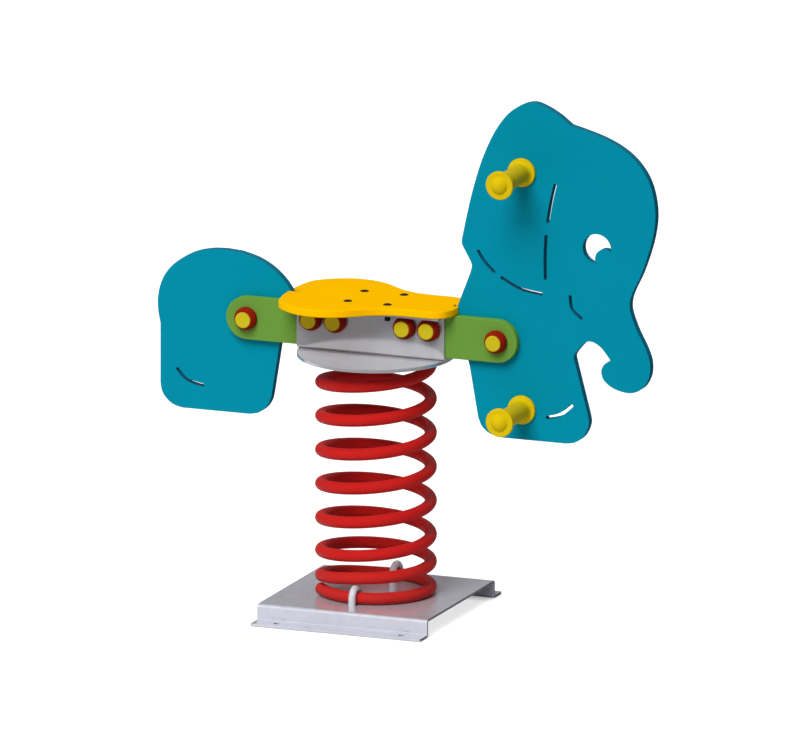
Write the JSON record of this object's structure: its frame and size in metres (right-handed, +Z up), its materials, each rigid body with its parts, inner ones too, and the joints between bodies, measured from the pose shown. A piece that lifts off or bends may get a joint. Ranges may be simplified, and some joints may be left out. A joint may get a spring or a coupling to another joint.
{
  "type": "spring rider",
  "caption": "Playground spring rider: a board seat with animal-shaped panels, grips and foot rests rocks on a coil spring clamped to a steel ground plate.",
  "frame": {"origin": "on the ground, at the middle of the four anchor holes in the base's underside, below the spring's axis", "axes": "+Z up along the spring, +X forward towards the head panel, +Y to the rider's left"},
  "size_m": [0.8782, 0.36, 0.8815],
  "materials": {
    "galvanised_sheet": "zinc-coated, fine grain",
    "clamp_steel": "zinc-plated rod",
    "fixing_steel": "zinc-plated",
    "spring_paint": "red powder coat on spring steel",
    "beam_board": "coloured polyethylene board",
    "panel_board": "blue-green polyethylene board with a dark core at its edge",
    "seat_board": "coloured polyethylene board",
    "dark_bolt": "black-coated steel",
    "cover_plastic": "moulded, semi-gloss",
    "cap_plastic": "moulded, semi-gloss",
    "grip_plastic": "moulded, semi-gloss"
  },
  "bodies": {
    "base": {"base_plate": "galvanised_sheet", "base_spring_clamps": "clamp_steel", "base_clamp_washers": "fixing_steel", "base_clamp_nuts": "fixing_steel"},
    "spring_body": {"coil_spring": "spring_paint"},
    "rider": {"head_plate": "galvanised_sheet", "top_spring_clamps": "clamp_steel", "top_clamp_washers": "fixing_steel", "top_clamp_nuts": "fixing_steel", "seat_bracket": "galvanised_sheet", "rear_beam_right": "beam_board", "rear_beam_left": "beam_board", "front_beam_right": "beam_board", "front_beam_left": "beam_board", "rear_spacer": "beam_board", "front_spacer": "beam_board", "rear_panel": "panel_board", "head_panel": "panel_board", "seat": "seat_board", "seat_bolts": "dark_bolt", "seat_nuts": "fixing_steel", "bracket_bolts": "fixing_steel", "bracket_bolt_nuts": "fixing_steel", "bracket_bolt_washers": "fixing_steel", "panel_bolts": "fixing_steel", "panel_bolt_nuts": "fixing_steel", "panel_bolt_washers": "fixing_steel", "bracket_cover_bases_right": "cover_plastic", "bracket_cover_bases_left": "cover_plastic", "bracket_cover_caps_right": "cap_plastic", "bracket_cover_caps_left": "cap_plastic", "panel_cover_bases_right": "cover_plastic", "panel_cover_bases_left": "cover_plastic", "panel_cover_caps_right": "cap_plastic", "panel_cover_caps_left": "cap_plastic", "hand_grip_right": "grip_plastic", "hand_grip_left": "grip_plastic", "foot_rest_right": "grip_plastic", "foot_rest_left": "grip_plastic", "hand_grip_rod": "fixing_steel", "foot_rest_rod": "fixing_steel", "hand_grip_washers": "fixing_steel", "foot_rest_washers": "fixing_steel", "hand_grip_nuts": "fixing_steel", "foot_rest_nuts": "fixing_steel", "hand_grip_caps": "cap_plastic", "foot_rest_caps": "cap_plastic"}
  },
  "joints": [
    {"name": "rock_fore_aft", "type": "hinge", "parent": "base", "child": "spring_body", "pos_m": [0, 0, 0.135], "axis": [0, 1, 0], "range_deg": [-25, 25], "stiffness_Nm_per_rad": 350, "springref_deg": -1.09, "deforming": ["coil_spring"]},
    {"name": "rock_side", "type": "hinge", "parent": "spring_body", "child": "rider", "pos_m": [0, 0, 0.325], "axis": [1, 0, 0], "range_deg": [-15, 15], "stiffness_Nm_per_rad": 350, "springref_deg": 0.03, "deforming": ["coil_spring"]}
  ]
}
